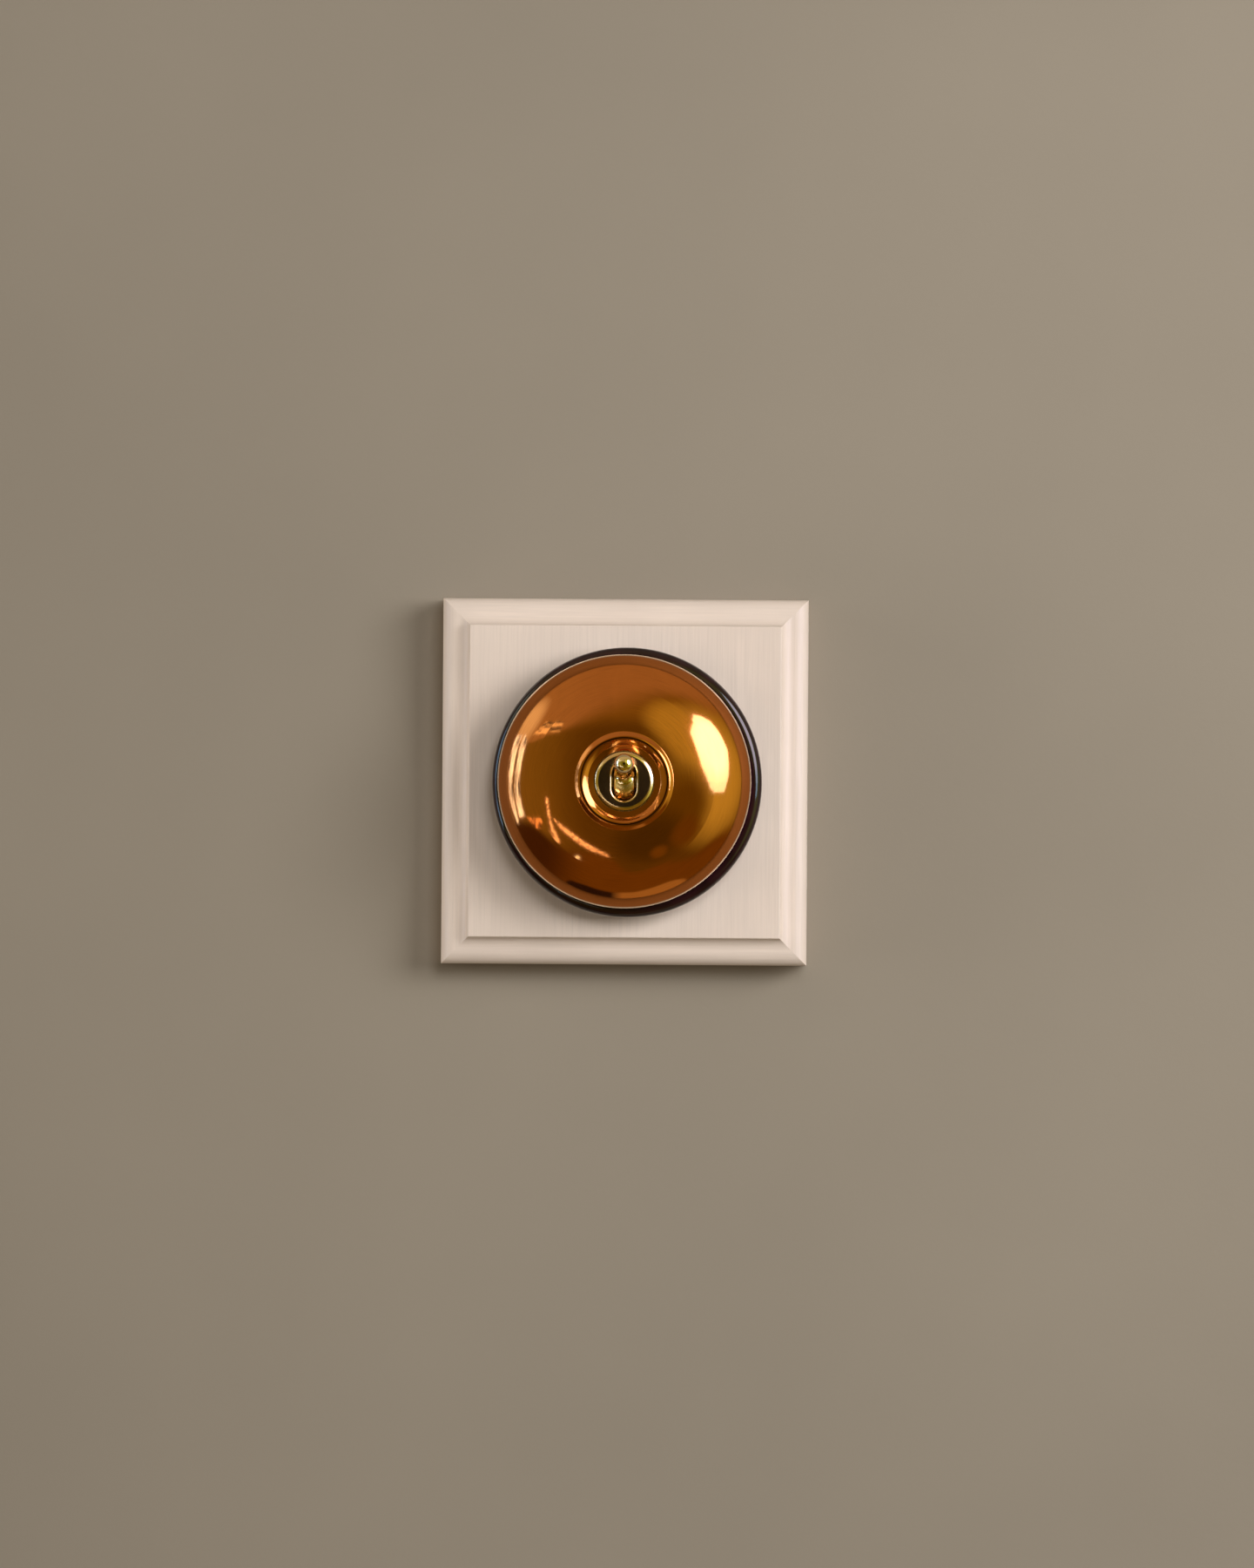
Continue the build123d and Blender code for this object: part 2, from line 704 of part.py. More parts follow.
def base_screw(place):
    """Slotted round-head wood screw that holds the base to the block."""
    half = driver_slot_width / 2
    head = domed(wood_screw_head_radius, wood_screw_head_height) - cuboid(
        (-wood_screw_head_radius, wood_screw_head_radius),
        (-half, half),
        (wood_screw_head_height - 2 * driver_slot_depth, wood_screw_head_height),
    )
    point_top = wood_screw_point - wood_screw_length + wood_screw_fit
    shank = rod(wood_screw_radius, point_top, 0)
    point = Pos(0, 0, point_top) * Cone(
        wood_screw_radius * 0.25,
        wood_screw_radius,
        wood_screw_point,
        align=(Align.CENTER, Align.CENTER, Align.MAX),
    )
    return Pos(*place, floor + screw_boss_height) * Rot(0, 0, 45) * (head + shank + point)


def bridge():
    """Brass plate across the two pillars, with the nozzle's hole in its hub."""
    circles = [Circle(bridge_hub_radius)]
    circles += [Pos(x, y) * Circle(bridge_ear_radius) for x, y in pillar_places()]
    outline = make_hull([edge for circle in circles for edge in circle.edges()])
    plate = Pos(0, 0, bridge_back) * extrude(outline, bridge_thickness)
    plate = chamfer(plate.edges().group_by(Axis.Z)[-1], bridge_chamfer)
    plate -= rod(nozzle_spigot_radius, bridge_back, bridge_top)
    for x, y in pillar_places():
        plate -= rod(tapped_hole_radius, bridge_back, bridge_top, x, y)
    return plate - rod(rivet_radius, bridge_back, bridge_top, rivet_reach)


def bridge_screw(place):
    """Screw through the bridge into a pillar."""
    return Pos(*place, bridge_top) * cheese_head_screw(bridge_screw_length)


def earth_strap():
    """Strip that joins the earth terminal to the bridge, and so to the nozzle, the dolly and the cover."""
    outer = terminal_reach + terminal_side / 2
    rise = bridge_back - strip_top - 2 * fold_radius - sheet
    moves = [
        (outer - strap_riser, 0),
        (fold_radius, -90),
        (rise, 0),
        (fold_radius + sheet, 90),
        (strap_riser - fold_radius - fold_radius - sheet - strap_inner, 0),
    ]
    section, _ = folded((outer, strip_top), 180, moves, sheet)
    strap = extrude(Plane.XZ * section, strip_width / 4, both=True)
    strap += cuboid(
        (terminal_reach - terminal_side / 2, outer),
        (-strip_width / 2, strip_width / 2),
        (floor, strip_top),
    )
    strap -= rod(rivet_radius, strip_top, bridge_back, rivet_reach)
    return strap - rod(tapped_hole_radius, floor, strip_top, terminal_reach)


def earth_rivet():
    """Rivet that clamps the strap's end under the bridge."""
    low = bridge_back - sheet
    shank = rod(rivet_radius, low, bridge_top, rivet_reach)
    upper_head = rod(rivet_head_radius, bridge_top, bridge_top + rivet_head_height, rivet_reach)
    lower_head = rod(rivet_head_radius, low - rivet_head_height, low, rivet_reach)
    return shank + upper_head + lower_head


def pivot_pin():
    """Pin across the nozzle that the dolly turns on, just short of the thread at both ends."""
    return pin_along_x(pin_radius, 2 * (nozzle_radius - pin_end_gap), 0, pivot)


def pieces():
    """Every piece of the switch by name, in the bench position."""
    made = {
        "wood_block": wood_block(),
        "ceramic_base": ceramic_base(),
        "cover": cover(),
        "cover_bush": cover_bush(),
        "nozzle": nozzle(),
        "dolly": dolly(),
        "pivot_pin": pivot_pin(),
        "plunger": plunger(),
        "plunger_spring": plunger_spring(),
        "rocker": rocker(),
        "rocker_pin": rocker_pin(),
        "common_bracket": common_bracket(),
        "bridge": bridge(),
        "earth_strap": earth_strap(),
        "earth_rivet": earth_rivet(),
    }
    for name, side in (("left", -1), ("right", 1)):
        made[f"pivot_washer_{name}"] = pivot_washer(side)
    for name, side in (("lower", -1), ("upper", 1)):
        made[f"rocker_tip_{name}"] = rocker_tip(side)
    for name, angle in (("upper", upper_side), ("lower", lower_side)):
        made[f"{name}_contact"] = fixed_contact(angle)
        made[f"{name}_contact_tip"] = fixed_tip(angle)
    sides = {"earth": earth_side, "upper": upper_side, "common": common_side, "lower": lower_side}
    for name, angle in sides.items():
        made[f"{name}_terminal"] = terminal(angle, strip_top)
        made[f"{name}_terminal_screw"] = terminal_screw(angle, strip_top)
        made[f"{name}_back_screw"] = back_screw(angle)
    for name, place in zip(("left", "right"), base_screw_places()):
        made[f"base_screw_{name}"] = base_screw(place)
    for name, place in zip(("right", "left"), pillar_places()):
        made[f"bridge_screw_{name}"] = bridge_screw(place)
    return made


os.makedirs("parts", exist_ok=True)
for name, shape in pieces().items():
    standing = Rot(90, 0, 0) * shape
    export_step(standing, f"parts/{name}.step")
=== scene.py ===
import json
from math import cos, pi, radians, sin

import bpy
from bpy.props import FloatProperty, FloatVectorProperty, PointerProperty
from mathutils import Matrix, Vector


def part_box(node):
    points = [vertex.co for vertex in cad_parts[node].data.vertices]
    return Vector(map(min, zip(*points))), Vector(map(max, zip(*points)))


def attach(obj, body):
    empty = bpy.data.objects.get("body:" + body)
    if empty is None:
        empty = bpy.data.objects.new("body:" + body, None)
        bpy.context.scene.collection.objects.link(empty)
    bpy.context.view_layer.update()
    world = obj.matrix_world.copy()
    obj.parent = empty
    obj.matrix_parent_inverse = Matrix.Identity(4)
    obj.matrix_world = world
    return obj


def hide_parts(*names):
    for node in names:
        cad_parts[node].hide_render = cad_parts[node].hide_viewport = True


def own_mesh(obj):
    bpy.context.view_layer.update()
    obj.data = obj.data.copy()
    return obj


bl_info = {
    "name": "Dolly switch finishes",
    "version": (1, 0, 0),
    "blender": (4, 5, 0),
    "location": "3D View > Sidebar > Switch",
    "description": "Dresses a copper dolly switch on its painted wood block and lights it for a portrait",
    "category": "Object",
}

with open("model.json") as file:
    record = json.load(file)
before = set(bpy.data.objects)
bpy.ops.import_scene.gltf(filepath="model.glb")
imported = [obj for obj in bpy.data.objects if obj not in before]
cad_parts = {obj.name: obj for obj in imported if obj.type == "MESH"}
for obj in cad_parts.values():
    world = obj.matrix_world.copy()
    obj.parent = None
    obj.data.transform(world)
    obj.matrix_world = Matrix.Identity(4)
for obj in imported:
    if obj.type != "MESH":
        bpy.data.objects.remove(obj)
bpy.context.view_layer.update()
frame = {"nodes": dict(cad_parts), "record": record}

MM = 0.001
JOINTS = {joint["name"]: joint for joint in frame["record"]["behaviour"]["joints"]}
PIVOT = Vector(JOINTS["dolly_toggle"]["pos_m"])
LEVER = Vector(JOINTS["plunger_slide"]["axis"])
BLOCK_DEPTH = -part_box("wood_block")[0].y
COVER_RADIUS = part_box("cover")[1].x
COVER_SEAT = -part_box("cover")[1].y


def colour(name, description, value):
    """Colour property with its usual settings."""
    return FloatVectorProperty(
        name=name, description=description, default=value, subtype="COLOR", size=3, min=0.0, max=1.0
    )


def length(name, description, millimetres):
    """Length property, given in millimetres and kept in metres."""
    return FloatProperty(
        name=name, description=description, default=millimetres * MM, unit="LENGTH", subtype="DISTANCE"
    )


def power(name, description, watts):
    """Power of a lamp, in watts."""
    return FloatProperty(name=name, description=description, default=watts, min=0.0, unit="POWER")


class SwitchFinish(bpy.types.PropertyGroup):
    """Colours of the switch's materials."""

    paint: colour("Paint", "Brushed paint on the wood block", (0.78, 0.655, 0.56))
    bare_wood: colour("Bare wood", "Unpainted back of the block", (0.42, 0.24, 0.11))
    glaze: colour("Glaze", "Dark glaze of the ceramic base", (0.013, 0.0018, 0.0055))
    biscuit: colour("Biscuit", "Unglazed underside of the base", (0.55, 0.46, 0.36))
    copper: colour("Copper", "Polished cover, darkened by age", (0.62, 0.20, 0.045))
    pale_brass: colour("Pale brass", "Polished dolly", (0.92, 0.71, 0.38))
    nozzle: colour("Nozzle", "Satin brass collar", (0.84, 0.56, 0.27))
    worn_edge: colour("Worn edge", "Bright edge of the cover's rim", (0.98, 0.78, 0.56))
    warm_brass: colour("Warm brass", "Satin drum and skirt of the dolly", (0.90, 0.66, 0.27))
    brass: colour("Brass", "Machined and pressed pieces inside", (0.78, 0.58, 0.26))
    silver: colour("Silver", "Contact faces", (0.86, 0.84, 0.80))
    steel: colour("Steel", "Screws and springs", (0.56, 0.55, 0.53))
    nylon: colour("Nylon", "Plunger", (0.78, 0.74, 0.65))


class SwitchStage(bpy.types.PropertyGroup):
    """Wall, camera and light."""

    wall: colour("Wall", "Matt paint of the wall", (0.298, 0.256, 0.20))
    camera_distance: length("Camera distance", "From the wall to the camera", 1400.0)
    fill: colour("Fill", "Even light from all over the room", (0.203, 0.17, 0.125))
    view_width: length("View width", "Width of wall that the picture takes in", 328.7)
    key_power: power("Key", "Power of the softbox", 8.9)
    front_power: power("Front", "Power of the lamp above the camera", 6.0)
    window_power: power("Window", "Power of the window light", 11.0)
    back_power: power("Back", "Power of the lamp behind the wall", 6.0)


# Shader nodes


class Nodes:
    """An emptied node tree, with short ways to add and join nodes."""

    def __init__(self, tree, coordinates):
        self.tree = tree
        self.tree.nodes.clear()
        self.place = self.add("ShaderNodeTexCoord").outputs[coordinates]

    def add(self, kind, **settings):
        """New node of a kind, with its settings."""
        node = self.tree.nodes.new(kind)
        for key, value in settings.items():
            setattr(node, key, value)
        return node

    def join(self, source, target):
        self.tree.links.new(source, target)

    def feed(self, socket, value):
        """Sets a socket to a value, or joins it to the socket that gives one."""
        if isinstance(value, bpy.types.NodeSocket):
            self.join(value, socket)
        else:
            socket.default_value = value

    def math(self, operation, first, second=0.0):
        node = self.add("ShaderNodeMath", operation=operation)
        self.feed(node.inputs[0], first)
        self.feed(node.inputs[1], second)
        return node.outputs[0]

    def axes(self):
        """X, y and z of the place."""
        split = self.add("ShaderNodeSeparateXYZ")
        self.join(self.place, split.inputs[0])
        return split.outputs

    def vector(self, x, y, z):
        node = self.add("ShaderNodeCombineXYZ")
        for socket, value in zip(node.inputs, (x, y, z)):
            self.feed(socket, value)
        return node.outputs[0]

    def stretched(self, scale):
        """Place, scaled along each axis, for a pattern that is longer one way than another."""
        node = self.add("ShaderNodeMapping")
        self.join(self.place, node.inputs["Vector"])
        node.inputs["Scale"].default_value = scale
        return node.outputs[0]

    def noise(self, vector, scale=1.0, detail=3.0, roughness=0.5, distortion=0.0):
        node = self.add("ShaderNodeTexNoise")
        self.join(vector, node.inputs["Vector"])
        node.inputs["Scale"].default_value = scale
        node.inputs["Detail"].default_value = detail
        node.inputs["Roughness"].default_value = roughness
        node.inputs["Distortion"].default_value = distortion
        return node.outputs["Fac"]

    def span(self, value, low, high, to_low=0.0, to_high=1.0, smooth=False):
        """Value carried from one range to another and held at its ends."""
        node = self.add("ShaderNodeMapRange", interpolation_type="SMOOTHSTEP" if smooth else "LINEAR")
        for socket, number in zip(node.inputs, (value, low, high, to_low, to_high)):
            self.feed(socket, number)
        return node.outputs[0]

    def mix(self, share, first, second):
        """Colour between two others."""
        node = self.add("ShaderNodeMix", data_type="RGBA")
        self.feed(node.inputs["Factor"], share)
        self.feed(node.inputs[6], first)
        self.feed(node.inputs[7], second)
        return node.outputs[2]

    def curve(self, value, points):
        """Smooth curve through points, whose numbers all lie between -1 and 1."""
        node = self.add("ShaderNodeFloatCurve")
        line = node.mapping.curves[0]
        for across, up in points[1:-1]:
            line.points.new((across + 1) / 2, (up + 1) / 2)
        for end in (0, -1):
            line.points[end].location = ((points[end][0] + 1) / 2, (points[end][1] + 1) / 2)
        node.mapping.update()
        self.join(self.span(value, -1.0, 1.0), node.inputs["Value"])
        return self.span(node.outputs[0], 0.0, 1.0, -1.0, 1.0)

    def near(self, azimuth, elevation, inner, outer):
        """Share that is whole within an angle of a direction and fades out at a wider one."""
        node = self.add("ShaderNodeVectorMath", operation="DOT_PRODUCT")
        self.join(self.place, node.inputs[0])
        node.inputs[1].default_value = towards(azimuth, elevation)
        return self.span(node.outputs["Value"], cos(radians(outer)), cos(radians(inner)), smooth=True)

    def bump(self, height, distance, strength=1.0, base=None):
        """Normal that gives a pattern its height, on top of an earlier one where there is one."""
        node = self.add("ShaderNodeBump")
        node.inputs["Strength"].default_value = strength
        node.inputs["Distance"].default_value = distance
        self.join(height, node.inputs["Height"])
        if base is not None:
            self.join(base, node.inputs["Normal"])
        return node.outputs[0]


class Shader(Nodes):
    """One material's nodes, with its surface joined to its output."""

    def __init__(self, name):
        self.material = bpy.data.materials.new(name)
        self.material.use_nodes = True
        super().__init__(self.material.node_tree, "Object")
        self.output = self.add("ShaderNodeOutputMaterial")
        self.surface = self.add("ShaderNodeBsdfPrincipled")
        self.join(self.surface.outputs["BSDF"], self.output.inputs["Surface"])


def solid(value, shade=1.0):
    """RGBA of a colour property, made lighter or darker."""
    return (value[0] * shade, value[1] * shade, value[2] * shade, 1.0)


def dress(names, material):
    """Gives CAD nodes their material."""
    for name in names:
        node = frame["nodes"][name]
        node.data.materials.clear()
        node.data.materials.append(material)


def nodes_with_slot(slot):
    """CAD nodes whose record gives them a material slot."""
    return [part["node"] for part in frame["record"]["subparts"] if part["material_slot"] == slot]


# Materials


def painted_wood(finish):
    """Paint brushed up the field and along each moulding, over wood that is bare in the holes and behind."""
    paint_edge = 0.3 * MM
    field_edge = BLOCK_DEPTH - 0.1 * MM
    hole_mouth = BLOCK_DEPTH - 0.5 * MM
    hole_reach = 36.0 * MM
    brush_mark = 0.05 * MM
    shader = Shader("painted_wood")
    x, y, z = shader.axes()
    up = shader.noise(shader.stretched((2100, 90, 60)), detail=4.0)
    across = shader.noise(shader.stretched((60, 90, 2100)), detail=4.0)
    level = shader.math("GREATER_THAN", shader.math("ABSOLUTE", z), shader.math("ABSOLUTE", x))
    moulding = shader.math("GREATER_THAN", y, -field_edge)
    strokes = shader.span(shader.math("MULTIPLY", level, moulding), 0.0, 1.0, up, across)
    cloud = shader.noise(shader.place, scale=60.0, detail=2.0)
    paint = shader.mix(shader.span(cloud, 0.3, 0.7), solid(finish.paint, 0.96), solid(finish.paint, 1.03))
    paint = shader.mix(shader.span(strokes, 0.40, 0.75), paint, solid(finish.paint, 0.93))
    grain = shader.noise(shader.stretched((500, 500, 18)), detail=5.0, distortion=0.6)
    wood = shader.mix(
        shader.span(grain, 0.3, 0.7), solid(finish.bare_wood, 0.7), solid(finish.bare_wood, 1.25)
    )
    reach = shader.math("MAXIMUM", shader.math("ABSOLUTE", x), shader.math("ABSOLUTE", z))
    inner = shader.math("LESS_THAN", reach, hole_reach)
    hole = shader.math("MULTIPLY", inner, shader.math("GREATER_THAN", y, -hole_mouth))
    bare = shader.math("MAXIMUM", hole, shader.math("GREATER_THAN", y, -paint_edge))
    shader.join(shader.mix(bare, paint, wood), shader.surface.inputs["Base Color"])
    shader.join(shader.span(strokes, 0.2, 0.8, 0.42, 0.58), shader.surface.inputs["Roughness"])
    shader.surface.inputs["Specular IOR Level"].default_value = 0.3
    shader.join(shader.bump(strokes, brush_mark, 0.8), shader.surface.inputs["Normal"])
    return shader.material


def glazed(finish):
    """Deep glossy glaze, with the underside left bare."""
    glaze_edge = BLOCK_DEPTH + 0.04 * MM
    shader = Shader("dark_glaze")
    _, y, _ = shader.axes()
    pool = shader.noise(shader.place, scale=220.0, detail=2.0)
    glaze = shader.mix(shader.span(pool, 0.35, 0.7), solid(finish.glaze, 0.8), solid(finish.glaze, 1.5))
    bare = shader.math("GREATER_THAN", y, -glaze_edge)
    grit = shader.noise(shader.place, scale=2500.0, detail=2.0)
    biscuit = shader.mix(grit, solid(finish.biscuit, 0.85), solid(finish.biscuit, 1.1))
    shader.join(shader.mix(bare, glaze, biscuit), shader.surface.inputs["Base Color"])
    shader.join(shader.span(bare, 0.0, 1.0, 0.07, 0.75), shader.surface.inputs["Roughness"])
    shader.surface.inputs["Specular IOR Level"].default_value = 0.5
    shader.surface.inputs["Specular Tint"].default_value = (0.90, 0.93, 0.65, 1.0)
    wave = shader.noise(shader.place, scale=90.0, detail=1.0)
    shader.join(shader.bump(wave, 0.06 * MM, 0.4), shader.surface.inputs["Normal"])
    return shader.material


def polished_metal(name, tint, roughness, lathe_marks, lathe_scale, satin=None, edge=None):
    """Polished metal with broken rings of fine lathe marks about the switch's axis, and smears from rubbing.

    Satin is the rougher finish near the dolly's pivot, given as its tint, added roughness and reach. Edge is
    the worn finish of the rim, given as its tint, least radius and least height from the wall."""
    satin_fade = 0.3 * MM
    edge_fade = 0.2 * MM
    edge_rise = 0.3 * MM
    edge_roughness = 0.2
    shader = Shader(name)
    x, y, z = shader.axes()
    squares = shader.math("ADD", shader.math("MULTIPLY", x, x), shader.math("MULTIPLY", z, z))
    radius = shader.math("SQRT", squares)
    around = (shader.math("DIVIDE", x, radius), shader.math("DIVIDE", z, radius))
    along = [shader.math("MULTIPLY", part, 4.0) for part in around]
    rings = shader.noise(shader.vector(shader.math("MULTIPLY", radius, lathe_scale), *along), detail=3.0)
    smears = shader.noise(shader.stretched((130, 130, 45)), detail=4.0, distortion=0.8)
    fine = shader.noise(shader.stretched((5200, 5200, 1700)), detail=2.0)
    colour_here = shader.mix(shader.span(smears, 0.3, 0.75), solid(tint, 1.03), solid(tint, 0.84))
    colour_here = shader.mix(shader.span(rings, 0.3, 0.7), colour_here, solid(tint, 1.08))
    marks = shader.math("ADD", shader.math("MULTIPLY", smears, 0.6), shader.math("MULTIPLY", fine, 0.4))
    rough_here = shader.span(marks, 0.3, 0.75, roughness * 0.7, roughness * 1.5)
    if satin is not None:
        satin_tint, satin_roughness, reach = satin
        offset = shader.add("ShaderNodeVectorMath", operation="DISTANCE")
        shader.join(shader.place, offset.inputs[0])
        offset.inputs[1].default_value = PIVOT
        share = shader.span(offset.outputs["Value"], reach, reach + satin_fade, 1.0, 0.0)
        colour_here = shader.mix(share, colour_here, solid(satin_tint))
        rough_here = shader.math("ADD", rough_here, shader.math("MULTIPLY", share, satin_roughness))
    if edge is not None:
        edge_tint, edge_radius, edge_height = edge
        outer = shader.span(radius, edge_radius, edge_radius + edge_fade)
        share = shader.math("MULTIPLY", outer, shader.span(y, -edge_height, -edge_height - edge_rise))
        colour_here = shader.mix(share, colour_here, solid(edge_tint))
        rough_here = shader.math("ADD", rough_here, shader.math("MULTIPLY", share, edge_roughness))
    shader.join(colour_here, shader.surface.inputs["Base Color"])
    shader.join(rough_here, shader.surface.inputs["Roughness"])
    shader.surface.inputs["Metallic"].default_value = 1.0
    turned = shader.bump(rings, lathe_marks)
    shader.join(shader.bump(fine, lathe_marks * 0.3, base=turned), shader.surface.inputs["Normal"])
    return shader.material


def plain_metal(name, tint, roughness, metallic=1.0):
    """Metal with a drawn or machined grain."""
    shader = Shader(name)
    grain = shader.noise(shader.stretched((2500, 900, 900)), detail=4.0)
    shader.join(
        shader.mix(shader.span(grain, 0.3, 0.7), solid(tint, 0.88), solid(tint, 1.06)),
        shader.surface.inputs["Base Color"],
    )
    shader.surface.inputs["Metallic"].default_value = metallic
    shader.join(
        shader.span(grain, 0.2, 0.8, roughness * 0.8, roughness * 1.3), shader.surface.inputs["Roughness"]
    )
    shader.join(shader.bump(grain, 0.004 * MM), shader.surface.inputs["Normal"])
    return shader.material


def wall_paint(stage):
    """Matt wall paint with a faint roller texture, which the camera sees only from the room's side."""
    shader = Shader("wall_paint")
    blotch = shader.noise(shader.place, scale=7.0, detail=4.0)
    fine = shader.noise(shader.place, scale=420.0, detail=4.0)
    shader.join(
        shader.mix(shader.span(blotch, 0.3, 0.7), solid(stage.wall, 0.96), solid(stage.wall, 1.04)),
        shader.surface.inputs["Base Color"],
    )
    shader.surface.inputs["Roughness"].default_value = 0.9
    shader.surface.inputs["Specular IOR Level"].default_value = 0.1
    shader.join(shader.bump(fine, 0.08 * MM, 0.6), shader.surface.inputs["Normal"])
    clear = shader.add("ShaderNodeBsdfTransparent")
    seen = shader.add("ShaderNodeLightPath").outputs["Is Camera Ray"]
    behind = shader.add("ShaderNodeNewGeometry").outputs["Backfacing"]
    choice = shader.add("ShaderNodeMixShader")
    shader.join(shader.math("MULTIPLY", seen, behind), choice.inputs[0])
    shader.join(shader.surface.outputs[0], choice.inputs[1])
    shader.join(clear.outputs[0], choice.inputs[2])
    shader.join(choice.outputs[0], shader.output.inputs["Surface"])
    return shader.material


# Pieces


def along_lever(name):
    """Least and greatest reach of a CAD node along the lever, from the dolly's pivot."""
    reaches = [(vertex.co - PIVOT).dot(LEVER) for vertex in frame["nodes"][name].data.vertices]
    return min(reaches), max(reaches)


def coil(name, wire_radius, coil_radius, pitch, height):
    """Spring wound upwards from the origin: a ring of wire carried round and up, with its two ends closed."""
    turns = height / pitch
    steps_per_turn = 24
    bpy.ops.mesh.primitive_circle_add(
        vertices=12, radius=wire_radius, location=(coil_radius, 0, 0), rotation=(pi / 2, 0, 0)
    )
    piece = bpy.context.object
    piece.name = name
    bpy.ops.object.transform_apply()
    winding = piece.modifiers.new("winding", "SCREW")
    winding.angle = 2 * pi * turns
    winding.screw_offset = height
    winding.steps = winding.render_steps = round(steps_per_turn * turns)
    bpy.ops.object.modifier_apply(modifier=winding.name)
    bpy.ops.object.mode_set(mode="EDIT")
    bpy.ops.mesh.select_all(action="SELECT")
    bpy.ops.mesh.fill_holes(sides=0)
    bpy.ops.mesh.select_all(action="SELECT")
    bpy.ops.mesh.normals_make_consistent(inside=False)
    bpy.ops.object.mode_set(mode="OBJECT")
    bpy.ops.object.shade_smooth_by_angle(angle=radians(40))
    return piece


def plunger_spring(material):
    """Plunger's spring, whose upper end sits in the bore, wound over the CAD spring's length along the lever
    and carried with the dolly.
    """
    wire_radius = 0.19 * MM
    coil_radius = 1.08 * MM
    pitch = 0.72 * MM
    foot, top = along_lever("plunger_spring")
    piece = coil("wound_spring", wire_radius, coil_radius, pitch, top - foot - 2 * wire_radius)
    across = Vector((1, 0, 0))
    turn = Matrix((across, LEVER.cross(across), LEVER)).transposed().to_4x4()
    piece.data.transform(Matrix.Translation(PIVOT + LEVER * (foot + wire_radius)) @ turn)
    piece.data.materials.append(material)
    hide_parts("plunger_spring")
    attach(piece, "dolly")
    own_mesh(piece)


# Stage


def towards(azimuth, elevation):
    """Unit vector from the switch into the room: azimuth to the right and elevation up, in degrees."""
    a, e = radians(azimuth), radians(elevation)
    return Vector((sin(a) * cos(e), -cos(a) * cos(e), sin(e)))


def facing(direction, distance):
    """Matrix that puts something at a distance along a direction, with its +Z looking back at the switch."""
    turn = direction.to_track_quat("Z", "Y").to_matrix().to_4x4()
    return Matrix.Translation(direction * distance) @ turn


def glow(name, middle, edge=None, reach=1.0, bars=None):
    """Emission for a card: even, changing from its middle to its edge, or broken into bars."""
    shader = Shader(name)
    shader.tree.nodes.remove(shader.surface)
    emission = shader.add("ShaderNodeEmission")
    emission.inputs["Color"].default_value = solid(middle)
    if edge is not None:
        distance = shader.add("ShaderNodeVectorMath", operation="LENGTH")
        shader.join(shader.place, distance.inputs[0])
        outward = shader.span(distance.outputs["Value"], reach * 0.45, reach, smooth=True)
        shader.join(shader.mix(outward, solid(middle), solid(edge)), emission.inputs["Color"])
    if bars is not None:
        streaks = shader.noise(shader.stretched(bars), detail=3.0)
        shader.join(shader.span(streaks, 0.43, 0.57, 0.06, 1.0), emission.inputs["Strength"])
    shader.join(emission.outputs[0], shader.output.inputs["Surface"])
    return shader.material


def card(name, corners, distance, material):
    """Card that only shows in reflections, whose corners lie in directions given as azimuth and elevation."""
    bpy.ops.mesh.primitive_circle_add(vertices=len(corners), radius=1.0, fill_type="NGON")
    piece = bpy.context.object
    piece.name = name
    points = [towards(*corner) * distance for corner in corners]
    middle = sum(points, Vector()) / len(points)
    for vertex, point in zip(piece.data.vertices, points):
        vertex.co = point - middle
    piece.location = middle
    piece.data.materials.append(material)
    piece.visible_camera = False
    piece.visible_diffuse = False
    piece.visible_shadow = False


def lamp(name, direction, distance, width, height, watts, tint):
    """Soft rectangular light that is not seen in reflections, because a card stands for it there."""
    bpy.ops.object.light_add(type="AREA")
    light = bpy.context.object
    light.name = name
    light.data.shape = "RECTANGLE"
    light.data.size = width
    light.data.size_y = height
    light.data.energy = watts
    light.data.color = tint
    light.matrix_world = facing(direction, distance)
    light.visible_glossy = False
    light.visible_camera = False


def room_walls(nodes, x, z):
    """Walls of the room, lighter at the left and high up, with the glows and shades that lie on them."""
    walls = nodes.mix(
        nodes.span(x, -0.9, -0.2, smooth=True), solid((0.30, 0.27, 0.06)), solid((0.15, 0.115, 0.012))
    )
    walls = nodes.mix(nodes.span(z, 0.36, 0.60, smooth=True), walls, solid((0.285, 0.23, 0.047)))
    glow_right = solid((0.74, 0.83, 0.24))
    glow_above = solid((0.66, 0.70, 0.18))
    shade_right = solid((0.165, 0.13, 0.004))
    shade_below = solid((0.09, 0.07, 0.004))
    dark_camera = solid((0.012, 0.009, 0.006))
    ruddy_patch = solid((0.18, 0.115, 0.006))
    ruddy_streak = solid((0.22, 0.145, 0.012))
    dark_corner = solid((0.07, 0.03, 0.005))
    walls = nodes.mix(nodes.near(60, 5, 14, 48), walls, glow_right)
    walls = nodes.mix(nodes.near(30, 28, 4, 22), walls, glow_above)
    walls = nodes.mix(nodes.near(30, -12, 6, 26), walls, shade_right)
    walls = nodes.mix(nodes.near(14, -28, 6, 22), walls, shade_below)
    walls = nodes.mix(nodes.near(0, 0, 9, 18), walls, dark_camera)
    walls = nodes.mix(nodes.near(36, -25, 3, 12), walls, ruddy_patch)
    walls = nodes.mix(nodes.near(22, -37, 0, 6), walls, ruddy_streak)
    return nodes.mix(nodes.near(86, -45, 10, 20), walls, dark_corner)


